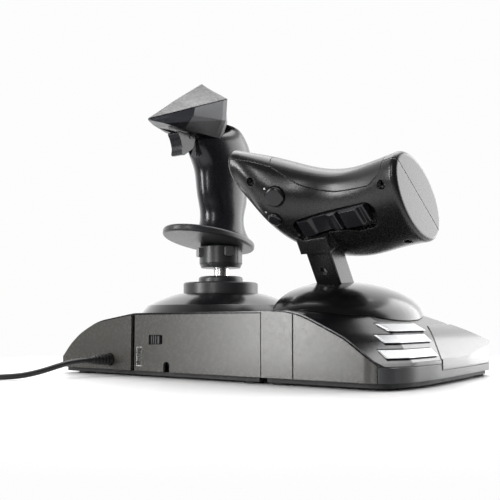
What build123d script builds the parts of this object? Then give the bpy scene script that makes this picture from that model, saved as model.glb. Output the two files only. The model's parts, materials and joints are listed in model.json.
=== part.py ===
from build123d import *
import math
import os

# Two-unit flight controller: a joystick unit docked beside a throttle unit, with its USB cord.
#
# Frame: +Z up, the user sits at -Y, the wall with the cord faces +Y, the throttle is at -X and the
# stick at +X. The origin is the middle of the underside. All sizes are in millimetres.

os.makedirs("parts", exist_ok=True)

# ---------------------------------------------------------------- driving dimensions
HALF_WIDTH = 148.5        # base, half of its width along X
FRONT_Y = -97.0           # front edge of the base
BACK_Y = 92.0             # face of the back walls
MATING_X = -50.5          # plane where the two units dock
DOCK_GAP = 0.2            # each unit stays this far from the mating plane
WALL = 2.4                # thickness of the moulded covers
SEAM = 0.3                # visible gap between neighbouring covers
FLOOR_Z = 4.5             # lower edge of the walls and covers
FOOT_H = 1.5              # height of the rubber feet
DECK_Z = 48.0             # flat top of both covers
RIM_Z = 16.2              # top of the throttle unit's lower case
COVER_LIP = 1.2           # covers stand this much above the back walls

STICK_X, STICK_Y, PIVOT_Z = 49.0, 13.0, 24.0      # where the pitch, roll and twist axes meet
DOME_R = 125.0            # sphere of the domed cover
DOME_FOOT_R = 80.0        # steeper sphere of its foot
DOME_TOP = 62.5           # its flat plateau
DOME_HOLE_R = 18.5
SHAFT_R = 6.5             # light metal neck
DISC_R, DISC_Z0, DISC_Z1 = 30.3, 62.8, 72.0       # large sliding disc
CAP_R, CAP_Z1 = 18.0, 77.0                        # small sliding disc
COLLAR_R, COLLAR_Z0, COLLAR_Z1 = 17.5, 84.0, 101.7
FLANGE_Y, FLANGE_Z, FLANGE_TILT = 27.5, 106.0, 9.0
FLANGE_A, FLANGE_B, FLANGE_T = 43.0, 32.0, 5.5    # half length, half width, thickness
TILT_LIMIT = 12.0         # stick travel, degrees either way

ARM_X0, ARM_X1 = -75.0, -55.0                     # throttle arm
ARM_Y, ARM_Z = -9.5, 21.0                         # throttle hinge
ARM_LEAN = 33.0           # degrees forward of upright at rest
ARM_DEPTH = 18.0
ARM_LENGTH = 98.0         # hinge to the end inside the grip's socket
SHIELD_R = 44.5           # curved shield that closes the arm slot
HUMP_X, HUMP_Y, HUMP_Z = -62.0, 3.0, 43.0         # centre of the hump's ellipsoid
HUMP_SIZE = (50.0, 80.0, 27.0)
GRIP_MAJOR = (0.0, 0.834, 0.552)                  # long direction of the grip's oval

CORD_R = 2.0
CORD_EXIT = (93.0, 113.5, 12.0)                   # end of the strain relief
COIL_X, COIL_Y, COIL_R0, COIL_R1, COIL_H = 175.0, 214.0, 15.0, 31.0, 12.0


# ---------------------------------------------------------------- helpers
def save(shape, node):
    """Write one sub-part."""
    export_step(shape, f"parts/{node}.step")


def block(x0, x1, y0, y1, z0, z1):
    return Pos((x0 + x1) / 2, (y0 + y1) / 2, (z0 + z1) / 2) * Box(x1 - x0, y1 - y0, z1 - z0)


def rod(start, end, radius, radius_end=None):
    """Round rod or cone from one point to another."""
    axis = Vector(*end) - Vector(*start)
    plane = Plane(origin=start, z_dir=axis)
    if radius_end is None:
        solid = Cylinder(radius, axis.length, align=(Align.CENTER, Align.CENTER, Align.MIN))
    else:
        solid = Cone(radius, radius_end, axis.length, align=(Align.CENTER, Align.CENTER, Align.MIN))
    return plane * solid


def inset(corners, distance):
    """The same outline with every side moved inwards; corners are (u, v, radius), anticlockwise."""
    moved = []
    count = len(corners)
    for i in range(count):
        u, v, radius = corners[i]
        before = Vector(u - corners[i - 1][0], v - corners[i - 1][1]).normalized()
        after = Vector(corners[(i + 1) % count][0] - u, corners[(i + 1) % count][1] - v).normalized()
        inward = Vector(-before.Y, before.X) + Vector(-after.Y, after.X)
        step = distance / (1 + before.dot(after))
        moved.append((u + inward.X * step, v + inward.Y * step, max(radius - distance, 0)))
    return moved


def face_of(corners):
    points = [(u, v) for u, v, _ in corners]
    return make_face(FilletPolyline(*points, radius=[r for _, _, r in corners], close=True))


def upright(corners, z0, z1):
    """Prism with its outline in plan, between two heights."""
    return extrude(Pos(0, 0, z0) * face_of(corners), z1 - z0)


def along_y(corners, y1=100.0, length=210.0, direction=(0, -1, 0)):
    """Prism with its outline in X and Z, from y1 towards the user."""
    plane = Plane(origin=(0, y1, 0), x_dir=(1, 0, 0), z_dir=(0, -1, 0))
    return extrude(plane * face_of(corners), length, dir=direction)


def along_x(corners, x0=-160.0, x1=160.0):
    """Prism with its outline in Y and Z."""
    plane = Plane(origin=(x0, 0, 0), x_dir=(0, 1, 0), z_dir=(1, 0, 0))
    return extrude(plane * face_of(corners), x1 - x0)


def ball(centre, radii):
    return Pos(*centre) * scale(Sphere(1), by=tuple(radii))


def one(shape):
    """The largest solid of a cut, which drops slivers."""
    return max(shape.solids(), key=lambda solid: solid.volume)


# ---------------------------------------------------------------- base outlines
# Corners are (u, v, radius). Plans run anticlockwise, roof lines run from high X or Y to low.
JOYSTICK_PLAN = [(MATING_X + DOCK_GAP, FRONT_Y, 9), (124, FRONT_Y, 36), (HALF_WIDTH, -62, 36),
                 (HALF_WIDTH, BACK_Y, 0), (MATING_X + DOCK_GAP, BACK_Y, 0)]
THROTTLE_PLAN = [(MATING_X - DOCK_GAP, FRONT_Y, 9), (MATING_X - DOCK_GAP, BACK_Y, 0), (-130.5, BACK_Y, 18),
                 (-141, 87, 12), (-147.3, 69, 50), (-HALF_WIDTH, 38, 150), (-144, -27, 300),
                 (-138, -85, 28), (-126, FRONT_Y, 12)]
WALLOP = DECK_Z - COVER_LIP - 0.3
WING_TOP = [(160, 5, 0), (HALF_WIDTH, 12.8, 0), (139, 23, 50), (127, 31.9, 50), (109.5, 39.6, 60),
            (70.5, 45.5, 90), (-60, WALLOP, 0)]
PANEL_TOP = [(-40, WALLOP + 2, 0), (-77.5, WALLOP, 60), (-113, 30.4, 60), (-131.5, 17.2, 0), (-134.5, 15.0, 0)]
SHOULDER = [(-40, DECK_Z, 0), (-98, DECK_Z, 42), (-128, 33, 55), (-146, RIM_Z, 0), (-160, RIM_Z, 0)]
FRONT_SLOPE = [(160, DECK_Z, 0), (-34, DECK_Z, 60), (-85, 26.5, 40), (FRONT_Y, RIM_Z, 0),
               (FRONT_Y - 9, RIM_Z, 0)]
REAR_SWEEP = (-0.45, -1, 0)       # the low rear roof of the throttle unit runs out towards -X


def under(top, drop):
    """Closed outline of everything below a roof line, lowered by drop."""
    line = [(u, v - drop, r) for u, v, r in top]
    floor = FLOOR_Z - 12
    return line + [(top[-1][0], floor, 0), (top[0][0], floor, 0)]


def lifted(top, rise):
    return [(u, v + rise, r) for u, v, r in top]


def joystick_block(thick):
    """The joystick unit's outer form, or its hollow when thick is above zero."""
    plan = upright(inset(JOYSTICK_PLAN, thick), FLOOR_Z - thick, 70)
    roof = along_y(under(lifted(WING_TOP, COVER_LIP + 0.3), 1.15 * thick))
    return plan & roof & along_x(under(FRONT_SLOPE, 1.15 * thick))


def throttle_block(thick):
    """The throttle unit's outer form, or its hollow when thick is above zero."""
    plan = upright(inset(THROTTLE_PLAN, thick), FLOOR_Z - thick, 70)
    shoulder = along_y(under(SHOULDER, 1.25 * thick))
    rear = lifted(PANEL_TOP, COVER_LIP) + [(-200, -35, 0)]
    rear_roof = along_y(under(rear, 1.25 * thick), BACK_Y, 260.0, REAR_SWEEP)
    return plan & shoulder & rear_roof & along_x(under(FRONT_SLOPE, 1.15 * thick))


def wall_block(plan, top, thick):
    """The back wall of a unit: a flat plate under its own roof line."""
    plate = upright(plan, FLOOR_Z, 70) & along_y(under(top, 0))
    return plate & block(-200, 200, BACK_Y - thick, BACK_Y + 1, 0, 80)


# ---------------------------------------------------------------- joystick unit, casing
SWITCH_X, SWITCH_Z = 45.0, 27.5          # mode switch
SOCKET_X, SOCKET_Z = 62.2, 15.0          # expansion socket
GROOVE_X0, GROOVE_X1 = 66.5, 70.5        # dark groove between back wall and wing wall


def dome(thick):
    """Shallow sphere with a flat top, whose foot curves down more steeply."""
    cap = Pos(STICK_X, STICK_Y, DOME_TOP - 119.5) * Sphere(DOME_R - thick)
    foot = Pos(STICK_X, STICK_Y, -1) * Sphere(DOME_FOOT_R - thick)
    return cap & foot & block(-60, 160, -100, 120, 25, DOME_TOP - thick)


def joystick_cover():
    shell = joystick_block(0) + dome(0)
    shell = shell - joystick_block(WALL) - dome(WALL)
    shell -= rod((STICK_X, STICK_Y, 50), (STICK_X, STICK_Y, 70), DOME_HOLE_R)
    shell -= block(-60, 160, BACK_Y - WALL - 0.3, BACK_Y + 9, 0, WALLOP + 0.2)
    shell -= block(-60, 160, BACK_Y - 1.2, BACK_Y + 9, 0, 80)
    shell = one(shell)
    rib = block(GROOVE_X0 - 0.6, GROOVE_X1 + 3, BACK_Y - WALL - 2.6, BACK_Y - WALL - 0.4, FLOOR_Z + 1, 44)
    save(one(shell + rib), "joystick_cover")


def joystick_walls():
    wall = wall_block(JOYSTICK_PLAN, WING_TOP, WALL)
    back = wall & block(MATING_X, GROOVE_X0, 0, 100, 0, 60)
    back -= block(SWITCH_X - 7, SWITCH_X + 7, 80, 95, SWITCH_Z - 3.6, SWITCH_Z + 3.6)
    back -= block(SOCKET_X - 3.2, SOCKET_X + 3.2, 80, 95, SOCKET_Z - 7.4, SOCKET_Z + 7.4)
    back -= rod((34, 80, 9), (34, 95, 9), 3.0)
    back -= block(31, 37, 80, 95, 0, 9)
    save(one(back), "joystick_back_wall")
    wing = wall & block(GROOVE_X1, 160, 0, 100, 0, 60)
    wing -= rod((CORD_EXIT[0], 80, CORD_EXIT[2]), (CORD_EXIT[0], 95, CORD_EXIT[2]), 4.8)
    save(one(wing), "joystick_wing_wall")


def bottom_plate(plan, node):
    plate = upright(inset(plan, 3.0), FOOT_H, FLOOR_Z - 0.2)
    save(plate, node)


FEET = [(130, 82), (130, -50), (-38, 82), (-38, -84), (60, -84), (-62, 82), (-62, -84), (-132, 72), (-130, -70)]


def feet_and_screws():
    feet = [rod((x, y, 0), (x, y, FOOT_H - 0.02), 6.5) for x, y in FEET]
    save(Compound(children=feet), "rubber_feet")
    heads = [rod((x, y - 14 if y > 0 else y + 14, 0.7), (x, y - 14 if y > 0 else y + 14, FOOT_H - 0.02), 3.2)
             for x, y in FEET]
    save(Compound(children=heads), "base_screws")


def electronics():
    save(block(12, 92, 46, 76, 8.0, 9.6), "main_board")
    outside = block(SOCKET_X - 3.0, SOCKET_X + 3.0, BACK_Y - 12, BACK_Y - 0.6, SOCKET_Z - 7.2, SOCKET_Z + 7.2)
    inside = block(SOCKET_X - 2.4, SOCKET_X + 2.4, BACK_Y - 10, BACK_Y, SOCKET_Z - 6.6, SOCKET_Z + 6.6)
    save(one(outside - inside), "expansion_socket")
    body = block(SWITCH_X - 10, SWITCH_X + 10, BACK_Y - 10, BACK_Y - WALL - 0.3, SWITCH_Z - 6, SWITCH_Z + 6)
    body -= block(SWITCH_X - 6.8, SWITCH_X + 6.8, BACK_Y - 7, BACK_Y, SWITCH_Z - 3.3, SWITCH_Z + 3.3)
    save(body, "mode_switch_body")
    slider = block(SWITCH_X - 2.2, SWITCH_X + 6.3, BACK_Y - 6.7, BACK_Y - 1.6, SWITCH_Z - 2.9, SWITCH_Z + 2.9)
    for i in range(3):
        x = SWITCH_X + i * 2.0
        slider += block(x, x + 1.0, BACK_Y - 2, BACK_Y - 0.6, SWITCH_Z - 2.9, SWITCH_Z + 2.9)
    save(one(slider), "mode_switch_slider")


# ---------------------------------------------------------------- gimbal inside the joystick unit
PIN_R, PIN_FIT = 2.5, 0.05


def gimbal():
    x, y, z = STICK_X, STICK_Y, PIVOT_Z
    housing = block(x - 37, x + 37, y - 22, y + 22, FLOOR_Z, 7.0)
    housing -= block(x - 24, x + 24, y - 19, y + 19, 0, 12)
    for side in (-1, 1):
        housing += block(min(x + side * 28, x + side * 34), max(x + side * 28, x + side * 34),
                         y - 8, y + 8, FLOOR_Z, z + 8)
    housing -= rod((x - 50, y, z), (x + 50, y, z), PIN_R + PIN_FIT)
    save(one(housing), "gimbal_housing")
    pins = [rod((x + side * 20.5, y, z), (x + side * 34, y, z), PIN_R) for side in (-1, 1)]
    save(Compound(children=pins), "pitch_pins")
    yoke = block(x - 26, x + 26, y - 18, y + 18, z - 5, z + 5) - block(x - 20, x + 20, y - 13, y + 13, 0, 60)
    yoke -= rod((x - 50, y, z), (x + 50, y, z), PIN_R + PIN_FIT)
    yoke -= rod((x, y - 50, z), (x, y + 50, z), PIN_R + PIN_FIT)
    save(one(yoke), "pitch_yoke")
    pins = [rod((x, y + side * 7.5, z), (x, y + side * 17.8, z), PIN_R) for side in (-1, 1)]
    save(Compound(children=pins), "roll_pins")
    roll = block(x - 10, x + 10, y - 12, y + 12, z - 8, z + 8)
    roll -= rod((x, y - 50, z), (x, y + 50, z), PIN_R + PIN_FIT)
    roll -= rod((x, y, 0), (x, y, 60), SHAFT_R + 0.01)
    save(one(roll), "roll_block")
    save(block(x + 34.2, x + 46, y - 8, y + 8, z - 8, z + 8), "pitch_sensor")
    save(rod((x, y, 15), (x, y, 107), SHAFT_R), "stick_shaft")
    coil = Pos(x, y, z + 12) * Helix(5.0, 20.0, 12.0)
    section = Plane(origin=coil @ 0, z_dir=coil % 0) * Circle(1.0)
    save(sweep(section, path=coil, is_frenet=True), "centring_spring")


def sliding_discs():
    x, y = STICK_X, STICK_Y
    top = DISC_Z0 + 2.4
    carrier = block(x - 17.2, x + 17.2, y - 10.6, y + 10.6, DISC_Z0, top - 0.2)
    carrier -= block(x - 15.5, x + 15.5, y - 8.6, y + 8.6, DISC_Z0 - 1, top)
    save(carrier, "disc_carrier")
    large = rod((x, y, DISC_Z0), (x, y, DISC_Z1), DISC_R)
    large = fillet(large.edges().group_by(Axis.Z)[-1], 1.6)
    large -= block(x - 27.3, x + 27.3, y - 10.8, y + 10.8, DISC_Z0 - 1, top)
    large -= rod((x, y, 60), (x, y, 80), 9.7)
    save(one(large), "large_disc")
    small = rod((x, y, DISC_Z1), (x, y, CAP_Z1), CAP_R)
    small = fillet(small.edges().group_by(Axis.Z)[-1], 2.2)
    small -= rod((x, y, 60), (x, y, 80), 9.6)
    save(one(small), "small_disc")


# ---------------------------------------------------------------- stick above the discs
# Handle sections: height, Y of the centre, half depth, half width
HANDLE = [(103, 11, 30, 23), (110, 11.5, 25, 19), (118, 12, 21.5, 16.6), (126, 11.6, 20.4, 16.1),
          (139, 11, 24.8, 15.8), (150, 12, 26, 16.5), (165, 13, 28, 17.5), (178, 15, 34.5, 18),
          (189, 14.5, 30, 17), (199, 24, 19, 15)]
# Head stations: Y, underside (half width, height), band foot, edge, ridge height
HEAD = [(97, (0.7, 190.0), (1.0, 190.4), (1.2, 191.0), 191.6),
        (87, (5.5, 189.0), (10.2, 192.6), (11.4, 195.0), 198.6),
        (69, (10.0, 187.4), (19.0, 196.2), (20.6, 202.4), 211.4),
        (38, (14.5, 186.0), (21.6, 199.0), (23.0, 214.5), 231.8),
        (33, (15.0, 186.0), (21.4, 199.6), (22.8, 216.5), 230.4),
        (27, (13.0, 188.0), (18.0, 199.8), (17.0, 208.5), 211.5)]
HEAD_SEAM = 0.3
REAR_NORMAL = (0, -0.96, 0.28)           # the head's face towards the thumb
HAT_AT = (STICK_X, 29.0, 219.0)
HEAD_BUTTONS = [(STICK_X + 10.5, 28.2, 205.5), (STICK_X - 10.5, 28.2, 205.5)]
TRIGGER_Y, TRIGGER_Z = 57.0, 184.0       # trigger hinge


def collar():
    x, y = STICK_X, STICK_Y
    body = rod((x, y, COLLAR_Z0 + 3.5), (x, y, COLLAR_Z1), COLLAR_R)
    body = fillet(body.edges().group_by(Axis.Z)[-1], 1.0)
    body += rod((x, y, COLLAR_Z0), (x, y, COLLAR_Z0 + 3.2), COLLAR_R - 1.6, COLLAR_R - 0.2)
    body += rod((x, y, COLLAR_Z0 + 3.0), (x, y, COLLAR_Z0 + 3.6), COLLAR_R - 0.9)
    body -= rod((x, y, 80), (x, y, 110), SHAFT_R + 0.1)
    body -= block(x - 40, x - COLLAR_R + 0.7, y - 0.25, y + 0.25, COLLAR_Z0, COLLAR_Z1)
    knobs = []
    for angle, z in ((150, 93), (60, 92.5), (270, 89)):
        lug = block(COLLAR_R - 0.8, COLLAR_R + 2.6, -3.4, 3.4, z, z + 7.4)
        lug = fillet(lug.edges().filter_by(Axis.X), 1.6)
        lug = Pos(x, y, 0) * Rot(0, 0, angle) * lug
        body -= lug
        knobs.append(lug)
    save(one(body), "twist_collar")
    save(Compound(children=knobs), "lock_knobs")


def flange_disc(grow=0.0, drop=0.0):
    oval = Ellipse(FLANGE_B + grow, FLANGE_A + grow)
    disc = extrude(Pos(0, 0, -FLANGE_T / 2 - grow - drop) * oval, FLANGE_T + 2 * grow + drop)
    return Pos(STICK_X, FLANGE_Y, FLANGE_Z) * Rot(FLANGE_TILT, 0, 0) * disc


def flange():
    disc = flange_disc()
    disc = fillet(disc.edges(), 1.9)
    disc -= rod((STICK_X, STICK_Y, 80), (STICK_X, STICK_Y, COLLAR_Z1), COLLAR_R)
    disc -= rod((STICK_X, STICK_Y, 80), (STICK_X, STICK_Y, 120), SHAFT_R + 0.1)
    save(one(disc), "hand_rest_flange")


def handle_half():
    """The +X half of the handle, before it is hollowed."""
    rings = []
    for z, y, half_depth, half_width in HANDLE:
        arc = EllipticalCenterArc((STICK_X + SEAM / 2, y), half_width, half_depth, -90, arc_size=180)
        rings.append(Pos(0, 0, z) * make_face([arc, Line(arc @ 1, arc @ 0)]))
    return loft(rings)


def handle_core():
    """Hollow inside the handle for the shaft, the wires and the trigger's switch."""
    core = rod((STICK_X, STICK_Y, 100), (STICK_X, STICK_Y, 190), 11.5)
    return core + block(STICK_X - 8, STICK_X + 8, -3, 26, 114, 186)


def head_loft(profile):
    rings = []
    for station in HEAD:
        points = [(STICK_X + x, z) for x, z in profile(station)]
        plane = Plane(origin=(0, station[0], 0), x_dir=(1, 0, 0), z_dir=(0, -1, 0))
        rings.append(plane * make_face(Polyline(*points, close=True)))
    return loft(rings, ruled=True)


def band_profile(station):
    _, under_side, foot, edge, _ = station
    return [(-under_side[0], under_side[1]), under_side, foot, edge, (-edge[0], edge[1]), (-foot[0], foot[1])]


def cap_profile(station):
    _, _, _, edge, ridge = station
    return [(-edge[0], edge[1] + HEAD_SEAM), (edge[0], edge[1] + HEAD_SEAM), (0, ridge + HEAD_SEAM)]


def rear_rod(at, start, end, radius, radius_end=None):
    """A round piece square to the head's rear face, between two distances outwards."""
    normal = Vector(*REAR_NORMAL).normalized()
    first = Vector(*at) + normal * start
    last = Vector(*at) + normal * end
    return rod(tuple(first), tuple(last), radius, radius_end)


def head_and_handle():
    band, cap = head_loft(band_profile), head_loft(cap_profile)
    hat_pocket = rear_rod(HAT_AT, -9, 20, 7.6)
    band -= hat_pocket
    cap -= hat_pocket
    for at in HEAD_BUTTONS:
        pocket = rear_rod(at, -6, 20, 4.6)
        band -= pocket
        cap -= pocket
    slot = block(STICK_X - 6.2, STICK_X + 6.2, 44, 90, 163, 188.4)
    left = handle_half() - flange_disc(0.15, 12) - handle_core() - slot
    left = one(left - head_loft(band_profile) - head_loft(cap_profile))
    save(left, "handle_left_shell")
    save(mirror(left, about=Plane(origin=(STICK_X, 0, 0), z_dir=(1, 0, 0))), "handle_right_shell")
    band -= slot & block(0, 100, 0, 100, 180, 188.4)
    save(one(band), "head_band")
    save(one(cap), "head_cap")


def stick_controls():
    x = STICK_X
    outline = [(50.5, 186.2, 1.5), (53, 176, 4), (64, 168.5, 1.0), (67.5, 168.5, 1.2), (66.5, 174, 8),
               (69, 181, 8), (72.5, 186.2, 1.5)]
    plane = Plane(origin=(x - 5.4, 0, 0), x_dir=(0, 1, 0), z_dir=(1, 0, 0))
    trigger = extrude(plane * face_of(outline), 10.8)
    trigger += rod((x - 6.0, TRIGGER_Y, TRIGGER_Z), (x + 6.0, TRIGGER_Y, TRIGGER_Z), 1.3)
    save(one(trigger), "trigger")
    ring = rear_rod(HAT_AT, -4.5, -2.5, 6.2) - rear_rod(HAT_AT, -6, 0, 4.4)
    save(one(ring), "hat_ring")
    cap = rear_rod(HAT_AT, -7.5, 0.5, 3.0) + rear_rod(HAT_AT, 0.4, 2.6, 5.2) - rear_rod(HAT_AT, 2.0, 4, 2.0, 4.2)
    save(one(cap), "hat_cap")
    for side, at in zip(("left", "right"), HEAD_BUTTONS):
        button = rear_rod(at, -3.5, 2.0, 4.3)
        button = fillet(button.edges().sort_by(Axis.Y)[:1], 0.9)
        save(one(button), f"head_button_{side}")


# ---------------------------------------------------------------- throttle unit, casing
# Louvre bars: ends (X, Y) of the bar's middle line, and its height
LOUVRES = [((-131.4, 80.0), (-140.4, 25.0), 21.4), ((-124.8, 69.0), (-130.6, 14.0), 30.2),
           ((-117.6, 53.0), (-120.6, 4.0), 37.2)]
LOUVRE_H = 4.8            # height of a bar
PLATE_PLAN = [(-160, 33, 0), (-160, -120, 0), (-58, -120, 0), (-58, -64, 4), (-116, -60, 6), (-119, -14, 0),
              (-152, 33, 0)]
PLATE_Z0, PLATE_Z1 = 10.0, 38.6


def louvre_region(ends, z, grow=0.0):
    """Level slab between a bar's two ends, which cuts the bar out of a layer of the cover."""
    (x0, y0), (x1, y1) = ends
    length = math.hypot(x1 - x0, y1 - y0)
    heading = math.degrees(math.atan2(y1 - y0, x1 - x0))
    slab = Box(length + 2 * grow, 30, LOUVRE_H + 2 * grow)
    return Pos((x0 + x1) / 2, (y0 + y1) / 2, z) * Rot(0, 0, heading) * slab


def plate_region(grow):
    return upright(inset(PLATE_PLAN, -grow), PLATE_Z0 - grow, PLATE_Z1 + grow)


def hump_form(thick):
    radii = [size - thick for size in HUMP_SIZE]
    return ball((HUMP_X, HUMP_Y, HUMP_Z), radii) & block(-160, MATING_X - DOCK_GAP - thick, -100, 100, 30, 90)


def arm_slot():
    return block(ARM_X0 - 1.2, ARM_X1 + 1.2, -47, 38, 50, 90)


def throttle_casing():
    outer = throttle_block(0)
    shell = outer - throttle_block(WALL)
    behind_panel = block(-134.9, -40, BACK_Y - WALL - 0.3, BACK_Y + 9, 0, 80)
    under_lip = behind_panel & along_y(under(lifted(PANEL_TOP, COVER_LIP * 0.5) + [(-138, 16, 0)], 0.2))
    shell -= under_lip
    shell -= block(-136, -40, BACK_Y - 1.2, BACK_Y + 9, 0, 80)
    shell -= plate_region(0.5)
    hump_hole = ball((HUMP_X, HUMP_Y, HUMP_Z), [size - 9 for size in HUMP_SIZE[:2]] + [30.0])
    cover = shell & block(-200, 0, -200, 200, RIM_Z - 2.2, 80)
    cover -= hump_hole & block(-104, MATING_X - WALL - 1, -80, 80, 38, 60)
    cover -= arm_slot()
    hump = hump_form(0) - hump_form(WALL) - arm_slot()
    hump = hump - throttle_block(-0.25)
    pocket = outer - throttle_block(1.2)
    for *ends, z in LOUVRES:
        cover -= pocket & louvre_region(ends, z, 0.25)
    save(one(cover), "throttle_cover")
    save(one(hump), "throttle_hump")
    case = shell & block(-200, 0, -200, 200, 0, RIM_Z - 2.5)
    save(one(case), "throttle_lower_case")
    plate = throttle_block(-0.4) - throttle_block(1.7)
    plate = plate & plate_region(0)
    save(one(plate), "throttle_front_plate")
    layer = throttle_block(-1.0) - throttle_block(0.9)
    bars = [one(layer & louvre_region(ends, z)) for *ends, z in LOUVRES]
    save(Compound(children=bars), "louvre_bars")
    wall = wall_block(THROTTLE_PLAN, PANEL_TOP + [(-140, 11, 0)], WALL)
    save(one(wall & block(-75.5, 0, 0, 100, 0, 60)), "throttle_back_wall")
    save(one(wall & block(-134.5, -76.2, 0, 100, 0, 60)), "throttle_side_panel")


# ---------------------------------------------------------------- throttle lever
def leaning(shape):
    """Turn a shape built upright over the hinge to the lever's rest angle."""
    return Pos(0, ARM_Y, ARM_Z) * Rot(-ARM_LEAN, 0, 0) * shape


def hinge_parts():
    x0, x1 = -78.0, -54.0
    bracket = block(-88, -53.6, ARM_Y - 16, ARM_Y + 16, FLOOR_Z, 7.0)
    for low in (x0, x1 - 3.6):
        bracket += block(low, low + 3.6, ARM_Y - 8, ARM_Y + 8, FLOOR_Z, ARM_Z + 9)
    bracket -= rod((-90, ARM_Y, ARM_Z), (-50, ARM_Y, ARM_Z), 4.05)
    save(one(bracket), "throttle_bracket")
    save(rod((x0 - 0.2, ARM_Y, ARM_Z), (x1, ARM_Y, ARM_Z), 4.0), "throttle_axle")
    save(block(-88, x0 - 0.3, ARM_Y - 8, ARM_Y + 8, ARM_Z - 8, ARM_Z + 8), "throttle_sensor")


def arm_form():
    half = ARM_DEPTH / 2
    narrow = block(-73.8, -58.4, -half, half, -10, 26)
    wide = block(ARM_X0, ARM_X1, -half, half, 26, ARM_LENGTH)
    wide = fillet(wide.edges().filter_by(Axis.Z), 1.6)
    return narrow + wide


def arm_and_shield():
    arm = arm_form() - rod((-90, 0, 0), (-50, 0, 0), 4.05)
    arm -= rod((-65, 0, 71.5), (-65, 20, 71.5), 2.6)
    save(one(leaning(arm)), "throttle_arm")
    ring = rod((-76.8, 0, 0), (-53.6, 0, 0), SHIELD_R) - rod((-90, 0, 0), (-50, 0, 0), SHIELD_R - 1.5)
    reach = 74.0
    wedge = make_face(Polyline((0, 0), (-90 * math.sin(math.radians(reach)), 90 * math.cos(math.radians(reach))),
                               (-90, 90), (90, 90), (90 * math.sin(math.radians(reach)),
                               90 * math.cos(math.radians(reach))), close=True))
    plane = Plane(origin=(-90, 0, 0), x_dir=(0, 1, 0), z_dir=(1, 0, 0))
    shield = (ring & extrude(plane * wedge, 60)) - arm_form()
    save(leaning(shield), "slot_shield")


# Grip stations along X: X, centre (Y, Z), half length and half thickness of the oval
GRIP = [(-138.5, (37.4, 122.2), 38.0, 22.5), (-131, (36.6, 121.0), 37.6, 22.2), (-118, (34.2, 119.4), 37.0, 22.2),
        (-104.5, (32, 117.4), 37.0, 23.0), (-79.5, (30, 116.6), 39.0, 23.6), (-49.5, (40, 123.7), 40.0, 25.0),
        (-29.5, (52, 133.5), 36.0, 20.0), (-19.5, (63, 143.5), 25.0, 14.0), (-13.5, (68, 151.5), 12.0, 7.5)]
GRIP_SEAM = 0.4           # gap between the grip's two shells
END_ROUND = 3.5           # rounding of the grip's end face
NOSE_X = -31.0            # the grip's nose is solid beyond this
SOCKET_WALL = 2.2         # wall round the arm's end inside the grip


def grip_plane(x, centre):
    return Plane(origin=(x, *centre), x_dir=GRIP_MAJOR, z_dir=(1, 0, 0))


def grip_form(thick):
    rings = [grip_plane(x, c) * Ellipse(max(a - thick, 2), max(b - thick, 1.4)) for x, c, a, b in GRIP]
    if thick:
        return loft(rings[:-1])
    form = loft(rings)
    return fillet(form.edges().sort_by(Axis.X)[:1], END_ROUND)


def split_plane():
    """Plane between the grip's two shells, facing the fingers."""
    return Plane(origin=(-80, 33.5, 120.0), x_dir=(1, 0, 0), z_dir=(0, GRIP_MAJOR[2], -GRIP_MAJOR[1]))


# Things on the finger side: place on the surface, outward direction, radius
FINGER_BUTTONS = {"upper": ((-49.1, 74.0, 125.7), (-0.2, 0.87, -0.42), 7.0),
                  "lower": ((-43.2, 65.0, 111.9), (0.0, 0.70, -0.70), 5.2)}
THUMB_BUTTONS = {"upper": ((-35.0, 43.5, 149.5), (0.0, -0.552, 0.834), 4.6),
                 "lower": ((-35.0, 31.5, 140.6), (0.0, -0.552, 0.834), 4.6)}
GRIP_SCREWS = [((-34.0, 81.7, 136.5), (0.0, 0.9, -0.4)), ((-127.3, 68.3, 126.5), (0.1, 0.9, -0.4)),
               ((-126.6, 29.3, 93.9), (0.0, 0.4, -0.9))]
ROCKER_PLANE = Plane(origin=(-85, 55.4, 107.3), x_dir=(0.99, -0.094, -0.104), z_dir=(0, 0.742, -0.67))
RECESS = [(-35, -8.5, 7), (31, -9.5, 6), (31, 5.5, 5), (-5, 8, 12), (-14, 11.5, 10), (-32, 11.5, 9)]
ROCKER_TOP = [(-28.5, -4.6, 1.5), (27.5, -4.6, 1.5), (27.5, 3.4, 3.0), (17, 3.6, 3.0), (14, 1.2, 3.0),
              (3, 0.8, 3.0), (-1.5, 4.2, 2.5), (-6, 4.0, 1.2), (-7.2, 0.2, 0.6), (-9.0, 0.2, 0.6),
              (-10, 4.4, 1.5), (-23.5, 4.2, 2.0), (-25.2, 1.4, 0.8), (-28.5, 1.8, 1.5)]
RECESS_DEPTH = 6.6


def pressed(place, direction, start, end, radius):
    """A round piece on the grip's surface, between two distances outwards."""
    normal = Vector(*direction).normalized()
    first = Vector(*place) + normal * start
    last = Vector(*place) + normal * end
    return rod(tuple(first), tuple(last), radius)


def palm_region(grow):
    """Space of the palm panel, seen along the grip's oval: X and distance towards the fingers."""
    corners = [(-127.5, -60, 0), (-43, -60, 0), (-43, -9, 4), (-46, 0, 4), (-64, 8, 30), (-92, 11.5, 60),
               (-118, 12.2, 8), (-127.5, 7, 4)]
    plane = Plane(origin=(0, 33.5 - 18 * GRIP_MAJOR[1], 120 - 18 * GRIP_MAJOR[2]), x_dir=(1, 0, 0),
                  z_dir=GRIP_MAJOR)
    return extrude(plane * face_of(inset(corners, -grow)), 90)


def recess(grow, depth, height):
    face = face_of(inset(RECESS, -grow))
    return extrude(ROCKER_PLANE * Pos(0, 0, -depth) * face, depth + height)


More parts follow.
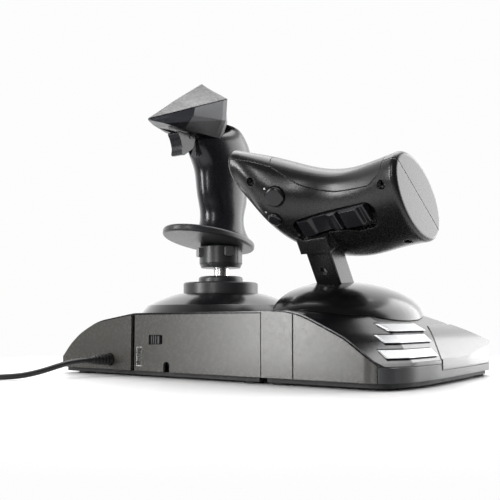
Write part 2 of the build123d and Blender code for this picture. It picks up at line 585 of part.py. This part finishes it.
def grip_shells():
    form = grip_form(0)
    half = ARM_DEPTH / 2 + SOCKET_WALL
    socket = leaning(block(ARM_X0 - SOCKET_WALL, ARM_X1 + SOCKET_WALL, -half, half, ARM_LENGTH - 11, ARM_LENGTH + SOCKET_WALL))
    hollow = grip_form(2.5) & block(-136, NOSE_X, -100, 200, 0, 300)
    tray = recess(1.6, RECESS_DEPTH + 1.6, 9) & form
    whole = form - hollow + socket + tray - recess(0, RECESS_DEPTH, 12)
    whole -= leaning(block(ARM_X0 - 0.1, ARM_X1 + 0.1, -ARM_DEPTH / 2 - 0.1, ARM_DEPTH / 2 + 0.1, 10,
                           ARM_LENGTH + 0.1))
    for place, direction, radius in list(FINGER_BUTTONS.values()) + list(THUMB_BUTTONS.values()):
        whole -= pressed(place, direction, -12, 8, radius + 0.25)
    for place, direction in GRIP_SCREWS:
        whole += pressed(place, direction, -11, -1, 4.6) & form
        whole -= pressed(place, direction, -8, 8, 3.1)
    panel = (form - hollow) & palm_region(-0.05)
    body = whole - palm_region(0.3)
    finger_side = split_plane() * Pos(0, 0, 100 + GRIP_SEAM) * Box(300, 300, 200)
    palm_side = split_plane() * Pos(0, 0, -100) * Box(300, 300, 200)
    save(one(body & finger_side), "grip_finger_shell")
    save(one(body & palm_side), "grip_palm_shell")
    save(one(panel), "palm_panel")
    screws = [pressed(place, direction, -7.9, -6.2, 2.6) for place, direction in GRIP_SCREWS]
    screws.append(leaning(rod((-65, 3.0, 71.5), (-65, 6.5, 71.5), 2.4)))
    save(Compound(children=screws), "grip_screws")
    board = split_plane() * Pos(14, -6, -5) * Box(60, 30, 1.6)
    save(board, "grip_board")


def grip_controls():
    side = ROCKER_PLANE * Plane(origin=(0, 4.8, 0), x_dir=(1, 0, 0), z_dir=(0, -1, 0))
    rocker = extrude(side * face_of(ROCKER_TOP), 13.0)
    rocker = fillet(rocker.edges().filter_by(lambda e: e.length > 2.5).filter_by(
        lambda e: abs(ROCKER_PLANE.to_local_coords(e.center()).Y - 4.8) < 0.1), 0.9)
    save(one(rocker), "finger_rocker")
    for name, (place, direction, radius) in FINGER_BUTTONS.items():
        button = pressed(place, direction, -3.2, 2.0, radius)
        top = button.edges().sort_by(lambda e: -Vector(*direction).dot(e.center()))[:1]
        save(one(fillet(top, 1.7)), f"finger_button_{name}")
    for name, (place, direction, radius) in THUMB_BUTTONS.items():
        button = pressed(place, direction, -4.0, 1.6, radius)
        top = button.edges().sort_by(lambda e: -Vector(*direction).dot(e.center()))[:1]
        save(one(fillet(top, 1.0)), f"thumb_button_{name}")


# ---------------------------------------------------------------- cord
# Route of the cord from the strain relief, laid on the table, to its coil
ROUTE = [CORD_EXIT, (93, 125.5, 12), (95, 137.5, 9.6), (99.5, 149.5, 5.8), (105.5, 161.5, 3.0), (114, 173.5, 2.15),
         (125, 183, 2.15), (136.5, 196.2, 2.15), (144.9, 208.9, 2.15)]


def strain_relief():
    x, y, z = CORD_EXIT
    relief = rod((x, BACK_Y - 5, z), (x, BACK_Y + 1.0, z), 4.5)
    relief += rod((x, BACK_Y + 0.8, z), (x, y, z), 3.6, 2.5)
    ribs = 6
    for i in range(ribs):
        at = BACK_Y + 1.5 + i * 3.0
        reach = 4.6 - 0.25 * i
        relief += rod((x, at, z), (x, at + 1.9, z), reach, reach - 0.35)
    save(one(relief), "strain_relief")


def cord():
    radii = []
    for before, corner, after in zip(ROUTE, ROUTE[1:], ROUTE[2:]):
        arriving = Vector(*corner) - Vector(*before)
        leaving = Vector(*after) - Vector(*corner)
        turn = math.radians(arriving.get_angle(leaving))
        radii.append(0.45 * min(arriving.length, leaving.length) / math.tan(turn / 2))
        print("cord arc", corner, "radius", round(radii[-1], 1), "turn", round(math.degrees(turn), 1))
    path = FilletPolyline(*ROUTE, radius=radii)
    start = Plane(origin=path @ 0, z_dir=path % 0)
    tube = sweep(start * Circle(CORD_R), path=path)
    print("cord volume", round(tube.volume, 1), "section x length", round(math.pi * CORD_R ** 2 * path.length, 1),
          "length", round(path.length, 1))
    save(one(tube), "usb_cord")
    ring = rod((COIL_X, COIL_Y, 0.1), (COIL_X, COIL_Y, 0.1 + COIL_H), COIL_R1)
    ring -= rod((COIL_X, COIL_Y, -1), (COIL_X, COIL_Y, COIL_H + 2), COIL_R0)
    save(ring, "cord_coil")


def plug():
    x, y = COIL_X, COIL_Y + COIL_R1 + 8.2
    body = fillet(block(x - 4, x + 20, y - 8, y + 8, 0.2, 8.2).edges().filter_by(Axis.X), 1.6)
    shell = block(x + 20, x + 32, y - 6, y + 6, 2.0, 6.5) - block(x + 20.6, x + 33, y - 5.6, y + 5.6, 2.4, 6.1)
    shell += block(x + 20.3, x + 31, y - 5.4, y + 5.4, 2.5, 4.2)
    save(one(body + shell + rod((x - 14, y, 3.6), (x - 4, y, 3.6), 2.4, 3.4)), "usb_plug")


def main():
    joystick_cover()
    joystick_walls()
    bottom_plate(JOYSTICK_PLAN, "joystick_bottom_plate")
    bottom_plate(THROTTLE_PLAN, "throttle_bottom_plate")
    feet_and_screws()
    electronics()
    gimbal()
    sliding_discs()
    collar()
    flange()
    head_and_handle()
    stick_controls()
    throttle_casing()
    hinge_parts()
    arm_and_shield()
    grip_shells()
    grip_controls()
    strain_relief()
    cord()
    plug()


main()
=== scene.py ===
import json
import math

import bmesh
import bpy
from mathutils import Matrix, Vector


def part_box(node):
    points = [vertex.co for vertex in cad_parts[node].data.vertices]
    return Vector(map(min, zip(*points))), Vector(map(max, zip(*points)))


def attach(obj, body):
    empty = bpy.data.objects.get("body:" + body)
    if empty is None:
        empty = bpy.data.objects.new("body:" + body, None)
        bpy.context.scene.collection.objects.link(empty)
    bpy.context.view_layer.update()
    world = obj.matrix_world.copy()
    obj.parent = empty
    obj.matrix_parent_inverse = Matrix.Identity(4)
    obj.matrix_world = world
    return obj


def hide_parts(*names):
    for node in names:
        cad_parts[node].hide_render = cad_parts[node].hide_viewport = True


# Looks of a two-unit flight controller: joystick, throttle and coiled USB cord. Sizes are in metres, or in
# millimetres where a comment says so.
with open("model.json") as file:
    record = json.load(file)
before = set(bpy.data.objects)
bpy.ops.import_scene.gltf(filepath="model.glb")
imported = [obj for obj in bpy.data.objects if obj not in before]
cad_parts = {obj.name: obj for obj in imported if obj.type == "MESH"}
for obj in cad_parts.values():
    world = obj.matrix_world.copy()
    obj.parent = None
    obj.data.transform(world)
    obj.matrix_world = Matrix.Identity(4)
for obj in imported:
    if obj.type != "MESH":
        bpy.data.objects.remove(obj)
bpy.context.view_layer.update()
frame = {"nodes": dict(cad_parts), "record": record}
NODES = frame["nodes"]
MM = 0.001


def link(obj):
    bpy.context.scene.collection.objects.link(obj)
    return obj


def mid(name):
    low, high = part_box(name)
    return (low + high) / 2


# ---------------------------------------------------------------- camera
CAMERA_AT = (-0.3568, 0.5016, 0.0423)
HEADING, PITCH = math.radians(-52.44), math.radians(5.1)
SENSOR_WIDTH, FOCAL_LENGTH = 36, 56           # millimetres


def make_camera():
    data = bpy.data.cameras.new("camera")
    data.sensor_width = SENSOR_WIDTH
    data.lens = FOCAL_LENGTH
    data.clip_start = 0.01
    data.clip_end = 50
    camera = link(bpy.data.objects.new("camera", data))
    camera.location = CAMERA_AT
    look = Vector((math.cos(PITCH) * math.cos(HEADING), math.cos(PITCH) * math.sin(HEADING), math.sin(PITCH)))
    camera.rotation_mode = "QUATERNION"
    camera.rotation_quaternion = look.to_track_quat("-Z", "Y")
    bpy.context.scene.camera = camera


# ---------------------------------------------------------------- cord
# Control points from the strain relief to the coil, laid on the table, in millimetres
ROUTE = [(93, 113.5, 12), (93, 125.5, 12), (95, 137.5, 9.6), (99.5, 149.5, 5.8), (105.5, 161.5, 3.0),
         (114, 173.5, 2.15), (125, 183, 2.15), (136.5, 196.2, 2.15), (144.9, 208.9, 2.15)]
# From the top of the coil over its edge, down to the table and into the plug
TAIL = [(146.5, 217.5, 14.8), (141.8, 226.5, 12.0), (139.8, 235, 8.4), (141, 243.2, 5.6), (146, 249.8, 4.0),
        (152.5, 252.9, 3.6), (157.5, 253.2, 3.6), (161, 253.2, 3.6)]
# The cord's diameter, and its coil: sizes in millimetres, start and end angles in degrees
CORD_D = 4.0
COIL_CENTRE = (175.0, 214.0)
COIL_R_IN, COIL_R_OUT = 16.2, 28.4
COIL_PITCH = 4.12
COIL_START, COIL_END = 163.0, 207.0
COIL_TURNS = 12
POINTS_PER_TURN = 24
LIFT_TURNS = 0.33


def coil_points():
    """Turns wound clockwise in layers, in and out by one pitch a turn, climbing at each end of a layer."""
    depth = COIL_R_OUT - COIL_R_IN
    layer_turns = depth / COIL_PITCH
    turns = COIL_TURNS - (COIL_END - COIL_START) / 360
    steps = round(turns * POINTS_PER_TURN)
    points = []
    for i in range(steps + 1):
        t = turns * i / steps
        layer, into = divmod(t, layer_turns + LIFT_TURNS)
        across = min(into / layer_turns, 1.0)
        lift = max(into - layer_turns, 0.0) / LIFT_TURNS
        inward = layer % 2 == 0
        radius = COIL_R_OUT - across * depth if inward else COIL_R_IN + across * depth
        angle = math.radians(COIL_START - 360 * t)
        x = COIL_CENTRE[0] + radius * math.cos(angle)
        y = COIL_CENTRE[1] + radius * math.sin(angle)
        z = ROUTE[-1][2] + COIL_PITCH * (layer + lift)
        points.append((x, y, z))
    return points


def make_cord():
    curve = bpy.data.curves.new("usb_lead", "CURVE")
    curve.dimensions = "3D"
    curve.resolution_u = 6
    curve.bevel_depth = 1.0                     # times each point's radius
    curve.bevel_resolution = 5
    curve.use_fill_caps = True
    spline = curve.splines.new("NURBS")
    points = ROUTE + coil_points() + TAIL
    spline.points.add(len(points) - 1)
    for point, place in zip(spline.points, points):
        point.co = (*[c * MM for c in place], 1)
        point.radius = CORD_D / 2 * MM
    spline.order_u = 3
    spline.use_endpoint_u = True
    lead = link(bpy.data.objects.new("usb_lead", curve))
    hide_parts("usb_cord", "cord_coil")
    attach(lead, "root")
    return lead


def swept_band(name, outline, width, thick, centre, across, material):
    """A flat strap bent round a closed outline of (along, up) points, in the upright plane through centre
    that has the angle across. Sizes are in millimetres."""
    mesh = bpy.data.meshes.new(name)
    form = bmesh.new()
    along = Vector((math.cos(across), math.sin(across), 0))
    side = Vector((-along.y, along.x, 0))
    middle = Vector((sum(p[0] for p in outline), sum(p[1] for p in outline), 0)) / len(outline)
    rows = []
    for a, z in outline:
        out = Vector((a - middle.x, z - middle.y, 0)).normalized()
        row = []
        for edge, grow in ((-1, 0), (1, 0), (1, 1), (-1, 1)):
            reach = a + out.x * thick * grow
            height = z + out.y * thick * grow
            place = Vector((*centre, 0)) + along * reach + side * (edge * width / 2) + Vector((0, 0, height))
            row.append(form.verts.new(place * MM))
        rows.append(row)
    for row, following in zip(rows, rows[1:] + rows[:1]):
        for k in range(4):
            form.faces.new((row[k], row[(k + 1) % 4], following[(k + 1) % 4], following[k]))
    bmesh.ops.recalc_face_normals(form, faces=form.faces)
    form.to_mesh(mesh)
    form.free()
    band = link(bpy.data.objects.new(name, mesh))
    finish_piece(band, "root", material)


def finish_piece(obj, body, material, smooth=True):
    obj.data.materials.clear()
    obj.data.materials.append(material)
    if smooth:
        for polygon in obj.data.polygons:
            polygon.use_smooth = True
    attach(obj, body)


# ---------------------------------------------------------------- materials
# How often the tone and the smudges change, per metre, and how far the tone goes
TONE_SCALE, SMUDGE_SCALE = 45.0, 420.0
TONE_DARK, TONE_LIGHT = 0.93, 1.08
GRAIN_HEIGHT = 0.05 * MM
# The range of the smudges' noise that reaches from the smoothest to the roughest spots
SMUDGE_LOW, SMUDGE_HIGH = 0.3, 0.7
# How far an edge's rounded normal agrees with its face's where wear starts and where it is full
WEAR_NONE, WEAR_FULL = 0.995, 0.8
WORN_GAIN, WORN_LIFT = 1.7, 0.02


def node(tree, kind, **values):
    made = tree.nodes.new(kind)
    for key, value in values.items():
        if hasattr(made, key):
            setattr(made, key, value)
        else:
            made.inputs[key.replace("_", " ")].default_value = value
    return made


def moulded(name, colour, rough, grain=0.35, grain_size=0.5, worn=0.5, edge=0.5, metallic=0.0, spread=0.06,
            brushed=None):
    """A moulded or painted surface: mottled colour and roughness, fine grain, soft and slightly worn edges.
    grain_size and edge are in millimetres. brushed stretches the grain along an axis."""
    made = bpy.data.materials.new(name)
    made.use_nodes = True
    tree = made.node_tree
    tree.nodes.clear()
    out = node(tree, "ShaderNodeOutputMaterial")
    shader = node(tree, "ShaderNodeBsdfPrincipled")
    shader.inputs["Metallic"].default_value = metallic
    place = node(tree, "ShaderNodeTexCoord")
    mapping = node(tree, "ShaderNodeMapping")
    if brushed is not None:
        mapping.inputs["Scale"].default_value = brushed
    tree.links.new(place.outputs["Object"], mapping.inputs["Vector"])
    broad = node(tree, "ShaderNodeTexNoise", Scale=TONE_SCALE, Detail=4.0, Roughness=0.6)
    tree.links.new(place.outputs["Object"], broad.inputs["Vector"])
    smudge = node(tree, "ShaderNodeTexNoise", Scale=SMUDGE_SCALE, Detail=3.0, Roughness=0.55)
    tree.links.new(place.outputs["Object"], smudge.inputs["Vector"])
    fine = node(tree, "ShaderNodeTexNoise", Scale=1.0 / (grain_size * MM), Detail=2.0, Roughness=0.5)
    tree.links.new(mapping.outputs["Vector"], fine.inputs["Vector"])
    bevel = node(tree, "ShaderNodeBevel", samples=6)
    bevel.inputs["Radius"].default_value = edge * MM
    bump = node(tree, "ShaderNodeBump")
    bump.inputs["Strength"].default_value = grain
    bump.inputs["Distance"].default_value = GRAIN_HEIGHT
    tree.links.new(fine.outputs["Fac"], bump.inputs["Height"])
    tree.links.new(bevel.outputs["Normal"], bump.inputs["Normal"])
    tree.links.new(bump.outputs["Normal"], shader.inputs["Normal"])
    # worn edges: where the rounded normal leaves the face's own normal
    surface = node(tree, "ShaderNodeNewGeometry")
    bend = node(tree, "ShaderNodeVectorMath", operation="DOT_PRODUCT")
    tree.links.new(bevel.outputs["Normal"], bend.inputs[0])
    tree.links.new(surface.outputs["Normal"], bend.inputs[1])
    wear = node(tree, "ShaderNodeMapRange")
    wear.inputs["From Min"].default_value = WEAR_NONE
    wear.inputs["From Max"].default_value = WEAR_FULL
    wear.inputs["To Max"].default_value = worn
    tree.links.new(bend.outputs["Value"], wear.inputs["Value"])
    tone = node(tree, "ShaderNodeMix", data_type="RGBA")
    tone.inputs["A"].default_value = (*[c * TONE_DARK for c in colour], 1)
    tone.inputs["B"].default_value = (*[min(c * TONE_LIGHT, 1) for c in colour], 1)
    tree.links.new(broad.outputs["Fac"], tone.inputs["Factor"])
    edged = node(tree, "ShaderNodeMix", data_type="RGBA")
    edged.inputs["B"].default_value = (*[min(c * WORN_GAIN + WORN_LIFT, 1) for c in colour], 1)
    tree.links.new(wear.outputs["Result"], edged.inputs["Factor"])
    tree.links.new(tone.outputs["Result"], edged.inputs["A"])
    tree.links.new(edged.outputs["Result"], shader.inputs["Base Color"])
    gloss = node(tree, "ShaderNodeMapRange")
    gloss.inputs["From Min"].default_value = SMUDGE_LOW
    gloss.inputs["From Max"].default_value = SMUDGE_HIGH
    gloss.inputs["To Min"].default_value = max(rough - spread, 0.02)
    gloss.inputs["To Max"].default_value = rough + spread
    tree.links.new(smudge.outputs["Fac"], gloss.inputs["Value"])
    tree.links.new(gloss.outputs["Result"], shader.inputs["Roughness"])
    tree.links.new(shader.outputs["BSDF"], out.inputs["Surface"])
    return made


def two_tone(made, below, foot, slope):
    """Gives a material a second colour below the sloping line z + slope * y = foot."""
    tree = made.node_tree
    shader = next(n for n in tree.nodes if n.type == "BSDF_PRINCIPLED")
    place = next(n for n in tree.nodes if n.type == "TEX_COORD")
    height = node(tree, "ShaderNodeVectorMath", operation="DOT_PRODUCT")
    height.inputs[1].default_value = (0, slope, 1)
    tree.links.new(place.outputs["Object"], height.inputs[0])
    above = node(tree, "ShaderNodeMapRange")
    above.inputs["From Min"].default_value = foot - COLOUR_STEP
    above.inputs["From Max"].default_value = foot + COLOUR_STEP
    tree.links.new(height.outputs["Value"], above.inputs["Value"])
    colour = shader.inputs["Base Color"].links[0].from_socket
    mix = node(tree, "ShaderNodeMix", data_type="RGBA")
    mix.inputs["A"].default_value = (*below, 1)
    tree.links.new(above.outputs["Result"], mix.inputs["Factor"])
    tree.links.new(colour, mix.inputs["B"])
    tree.links.new(mix.outputs["Result"], shader.inputs["Base Color"])


HANDLE_COLOUR = (0.009, 0.0095, 0.0125)
# Where the head's grey band ends: z + slope * y = foot
BAND_FOOT, BAND_SLOPE = 0.2058, 0.195
COLOUR_STEP = 0.1 * MM
LOOKS = {
    "cover_gloss": dict(colour=(0.006, 0.006, 0.007), rough=0.2, grain=0.03, grain_size=0.6, edge=0.7,
                        spread=0.03),
    "wall_grey": dict(colour=(0.052, 0.050, 0.045), rough=0.27, grain=0.05, grain_size=0.35, spread=0.02),
    "disc_grey": dict(colour=(0.030, 0.031, 0.033), rough=0.36, grain=0.12, grain_size=0.4, edge=0.6,
                      spread=0.03),
    "handle_black": dict(colour=HANDLE_COLOUR, rough=0.25, grain=0.02, edge=0.8, spread=0.03),
    "head_matte": dict(colour=(0.014, 0.014, 0.0145), rough=0.48, grain=0.25, grain_size=0.35, edge=1.2),
    "head_band": dict(colour=(0.06, 0.063, 0.075), rough=0.3, grain=0.05, grain_size=0.4, edge=0.8,
                      spread=0.03),
    "knob_grey": dict(colour=(0.14, 0.14, 0.145), rough=0.3, grain=0.05, grain_size=0.4, edge=0.6),
    "grip_black": dict(colour=(0.010, 0.0095, 0.010), rough=0.27, grain=0.03, grain_size=0.4, edge=0.8,
                       spread=0.03),
    "palm_black": dict(colour=(0.012, 0.0115, 0.012), rough=0.3, grain=0.05, grain_size=0.35, spread=0.03),
    "button_black": dict(colour=(0.010, 0.010, 0.012), rough=0.18, grain=0.03, spread=0.03),
    "silver": dict(colour=(0.60, 0.61, 0.62), rough=0.34, grain=0.1, grain_size=0.3, metallic=0.35, edge=0.4,
                   worn=0.2),
    "steel": dict(colour=(0.62, 0.62, 0.61), rough=0.28, grain=0.25, grain_size=0.4, metallic=1.0, edge=0.3,
                  worn=0.2, brushed=(1, 1, 14)),
    "rubber_black": dict(colour=(0.012, 0.012, 0.012), rough=0.75, grain=0.6, grain_size=0.4),
    "inner_plastic": dict(colour=(0.16, 0.16, 0.17), rough=0.5, grain=0.3, grain_size=0.4),
    "board_green": dict(colour=(0.015, 0.12, 0.045), rough=0.35, grain=0.3, grain_size=0.8, edge=0.3),
    "cord_black": dict(colour=(0.012, 0.012, 0.013), rough=0.45, grain=0.4, grain_size=0.3, edge=0.2,
                       worn=0.2),
    "tie_fabric": dict(colour=(0.02, 0.02, 0.022), rough=0.85, grain=0.9, edge=0.1, worn=0.2),
    # print_white also colours the white dots by the finger buttons, which are painted highlights
    "print_white": dict(colour=(0.8, 0.8, 0.8), rough=0.5, grain=0.1, edge=0.05, worn=0.0),
    "plinth_black": dict(colour=(0.010, 0.010, 0.0105), rough=0.6, grain=0.4, grain_size=0.4),
}


def make_materials():
    made = {name: moulded(name, **look) for name, look in LOOKS.items()}
    two_tone(made["head_band"], HANDLE_COLOUR, BAND_FOOT, BAND_SLOPE)
    return made


# Where the plug's metal shell starts, in millimetres
PLUG_SHELL_X = 194.9
OWN_MATERIAL = {"head_band": "head_band", "palm_panel": "palm_black", "lock_knobs": "knob_grey",
                "mode_switch_slider": "disc_grey"}


def dress_nodes(materials):
    slots = {part["node"]: part["material_slot"] for part in frame["record"]["subparts"]}
    for name, obj in NODES.items():
        material = materials[OWN_MATERIAL.get(name, slots[name])]
        obj.data.materials.clear()
        obj.data.materials.append(material)
        for polygon in obj.data.polygons:
            polygon.material_index = 0
    plug = NODES["usb_plug"].data
    plug.materials.append(materials["steel"])
    for polygon in plug.polygons:
        polygon.material_index = int(polygon.center.x > PLUG_SHELL_X * MM)


# ---------------------------------------------------------------- details
TIE_ANGLE = math.radians(-60)
# The strap round the coil, in millimetres
TIE_CORNER = 3.0
TIE_WIDTH, TIE_THICK = 7.0, 0.35
TIE_LOW, TIE_HIGH = 0.4, 17.0
TIE_GAP = 2.6
CORNER_STEPS = 5


def make_tie(materials):
    """A flat strap that holds the coil's turns together."""
    low, high = TIE_LOW + TIE_CORNER, TIE_HIGH - TIE_CORNER
    near, far = COIL_R_IN - TIE_GAP + TIE_CORNER, COIL_R_OUT + TIE_GAP - TIE_CORNER
    outline = []
    for a, z, start in ((far, high, 0), (near, high, 90), (near, low, 180), (far, low, 270)):
        for k in range(CORNER_STEPS + 1):
            turn = math.radians(start + 90 / CORNER_STEPS * k)
            outline.append((a + TIE_CORNER * math.cos(turn), z + TIE_CORNER * math.sin(turn)))
    swept_band("coil_tie", outline, TIE_WIDTH, TIE_THICK, COIL_CENTRE, TIE_ANGLE, materials["tie_fabric"])


# Small white dots on the grip just above each finger button are painted highlights, standing in for the
# glints of domed buttons
GLINT_RADIUS, GLINT_DEPTH = 0.75 * MM, 0.16 * MM
# The direction in which each painted highlight dot meets the grip, and each dot's step from its button's
# middle, in millimetres
GLINT_LOOK = Vector((0.1, -0.87, 0.42))
GLINT_STEPS = {"upper": (6.0, 0.2, 7.4), "lower": (5.4, 1.2, 5.6)}
GLINT_REACH = 30 * MM


def glint_dot(name, target, origin, direction, radius, body, material):
    """A thin white dot, a painted highlight, on the surface that a line from origin along direction meets."""
    hit, place, normal, _ = NODES[target].ray_cast(Vector(origin), Vector(direction).normalized())
    if not hit:
        raise ValueError(f"{name} meets no surface of {target}")
    mesh = bpy.data.meshes.new(name)
    form = bmesh.new()
    turn = normal.to_track_quat("Z", "Y").to_matrix().to_4x4()
    bmesh.ops.create_cone(form, cap_ends=True, segments=20, radius1=radius, radius2=radius * 0.9,
                          depth=GLINT_DEPTH, matrix=Matrix.Translation(place) @ turn)
    form.to_mesh(mesh)
    form.free()
    finish_piece(link(bpy.data.objects.new(name, mesh)), body, material, smooth=False)


def make_button_glints(materials):
    # Painted highlights: one white dot on the grip above each finger button
    for which, step in GLINT_STEPS.items():
        at = mid(f"finger_button_{which}") + Vector(step) * MM
        glint_dot(f"grip_glint_{which}", "grip_finger_shell", at - GLINT_LOOK * GLINT_REACH, GLINT_LOOK,
                     GLINT_RADIUS, "throttle", materials["print_white"])


# ---------------------------------------------------------------- floor and light
FLOOR_RADIUS = 1.2
# How far from the origin the floor starts to fade and is gone
FADE_FROM, FADE_TO = 0.16, 0.42
BACKDROP = (0.98, 0.98, 0.98, 1)
# The world lights the object from behind: how far off the view's direction its light starts and is full
# (as cosines), and how strong it is there
RAMP_FROM, RAMP_TO = -0.1, 0.75
LIT_FROM, LIT_TO = 0.1, 2.2


def floor_material():
    """A pale matte floor that fades into the backdrop away from the object."""
    pale = moulded("floor_pale", (0.9, 0.9, 0.9), 0.4, grain=0.02, worn=0.0, spread=0.02)
    tree = pale.node_tree
    out = next(n for n in tree.nodes if n.type == "OUTPUT_MATERIAL")
    shader = next(n for n in tree.nodes if n.type == "BSDF_PRINCIPLED")
    place = next(n for n in tree.nodes if n.type == "TEX_COORD")
    reach = node(tree, "ShaderNodeVectorMath", operation="LENGTH")
    tree.links.new(place.outputs["Object"], reach.inputs[0])
    fade = node(tree, "ShaderNodeMapRange", interpolation_type="SMOOTHSTEP")
    fade.inputs["From Min"].default_value = FADE_FROM
    fade.inputs["From Max"].default_value = FADE_TO
    tree.links.new(reach.outputs["Value"], fade.inputs["Value"])
    clear = node(tree, "ShaderNodeBsdfTransparent")
    mix = node(tree, "ShaderNodeMixShader")
    tree.links.new(fade.outputs["Result"], mix.inputs["Fac"])
    tree.links.new(shader.outputs["BSDF"], mix.inputs[1])
    tree.links.new(clear.outputs["BSDF"], mix.inputs[2])
    tree.links.new(mix.outputs["Shader"], out.inputs["Surface"])
    return pale


def make_floor():
    mesh = bpy.data.meshes.new("floor")
    form = bmesh.new()
    bmesh.ops.create_circle(form, cap_ends=True, segments=96, radius=FLOOR_RADIUS)
    form.to_mesh(mesh)
    form.free()
    floor = link(bpy.data.objects.new("floor", mesh))
    mesh.materials.append(floor_material())


def softbox(name, at, target, width, height, power):
    data = bpy.data.lights.new(name, "AREA")
    data.shape = "RECTANGLE"
    data.size, data.size_y = width, height
    data.energy = power
    lamp = link(bpy.data.objects.new(name, data))
    lamp.location = at
    lamp.rotation_mode = "QUATERNION"
    lamp.rotation_quaternion = (Vector(target) - Vector(at)).to_track_quat("-Z", "Y")
    lamp.visible_camera = False


def make_world():
    world = bpy.data.worlds.new("studio")
    bpy.context.scene.world = world
    world.use_nodes = True
    tree = world.node_tree
    tree.nodes.clear()
    out = node(tree, "ShaderNodeOutputWorld")
    seen = node(tree, "ShaderNodeBackground", Strength=1.0)
    seen.inputs["Color"].default_value = BACKDROP
    lit = node(tree, "ShaderNodeBackground", Strength=1.0)
    place = node(tree, "ShaderNodeTexCoord")
    away = node(tree, "ShaderNodeVectorMath", operation="DOT_PRODUCT")
    away.inputs[1].default_value = (math.cos(HEADING), math.sin(HEADING), 0.15)
    tree.links.new(place.outputs["Generated"], away.inputs[0])
    ramp = node(tree, "ShaderNodeMapRange")
    ramp.inputs["From Min"].default_value = RAMP_FROM
    ramp.inputs["From Max"].default_value = RAMP_TO
    ramp.inputs["To Min"].default_value = LIT_FROM
    ramp.inputs["To Max"].default_value = LIT_TO
    tree.links.new(away.outputs["Value"], ramp.inputs["Value"])
    tree.links.new(ramp.outputs["Result"], lit.inputs["Strength"])
    rays = node(tree, "ShaderNodeLightPath")
    mix = node(tree, "ShaderNodeMixShader")
    tree.links.new(rays.outputs["Is Camera Ray"], mix.inputs["Fac"])
    tree.links.new(lit.outputs["Background"], mix.inputs[1])
    tree.links.new(seen.outputs["Background"], mix.inputs[2])
    tree.links.new(mix.outputs["Shader"], out.inputs["Surface"])


def make_lights():
    make_world()
    softbox("side_box", (-0.62, -1.05, 0.35), (-0.1, 0, 0.08), 1.1, 1.0, 11)
    softbox("left_box", (0.62, 1.1, 0.3), (-0.06, 0.09, 0.04), 0.2, 0.8, 11)
    softbox("rear_strip", (-0.3, 1.3, 0.45), (0.05, 0, 0.15), 0.12, 0.9, 5)
    softbox("top_box", (0.1, -0.35, 1.25), (0, 0, 0.1), 1.3, 0.9, 14)


make_camera()
lead = make_cord()
MATERIALS = make_materials()
lead.data.materials.append(MATERIALS["cord_black"])
dress_nodes(MATERIALS)
make_tie(MATERIALS)
make_button_glints(MATERIALS)
make_floor()
make_lights()
bpy.context.scene.view_settings.view_transform = "Standard"
bpy.context.view_layer.update()
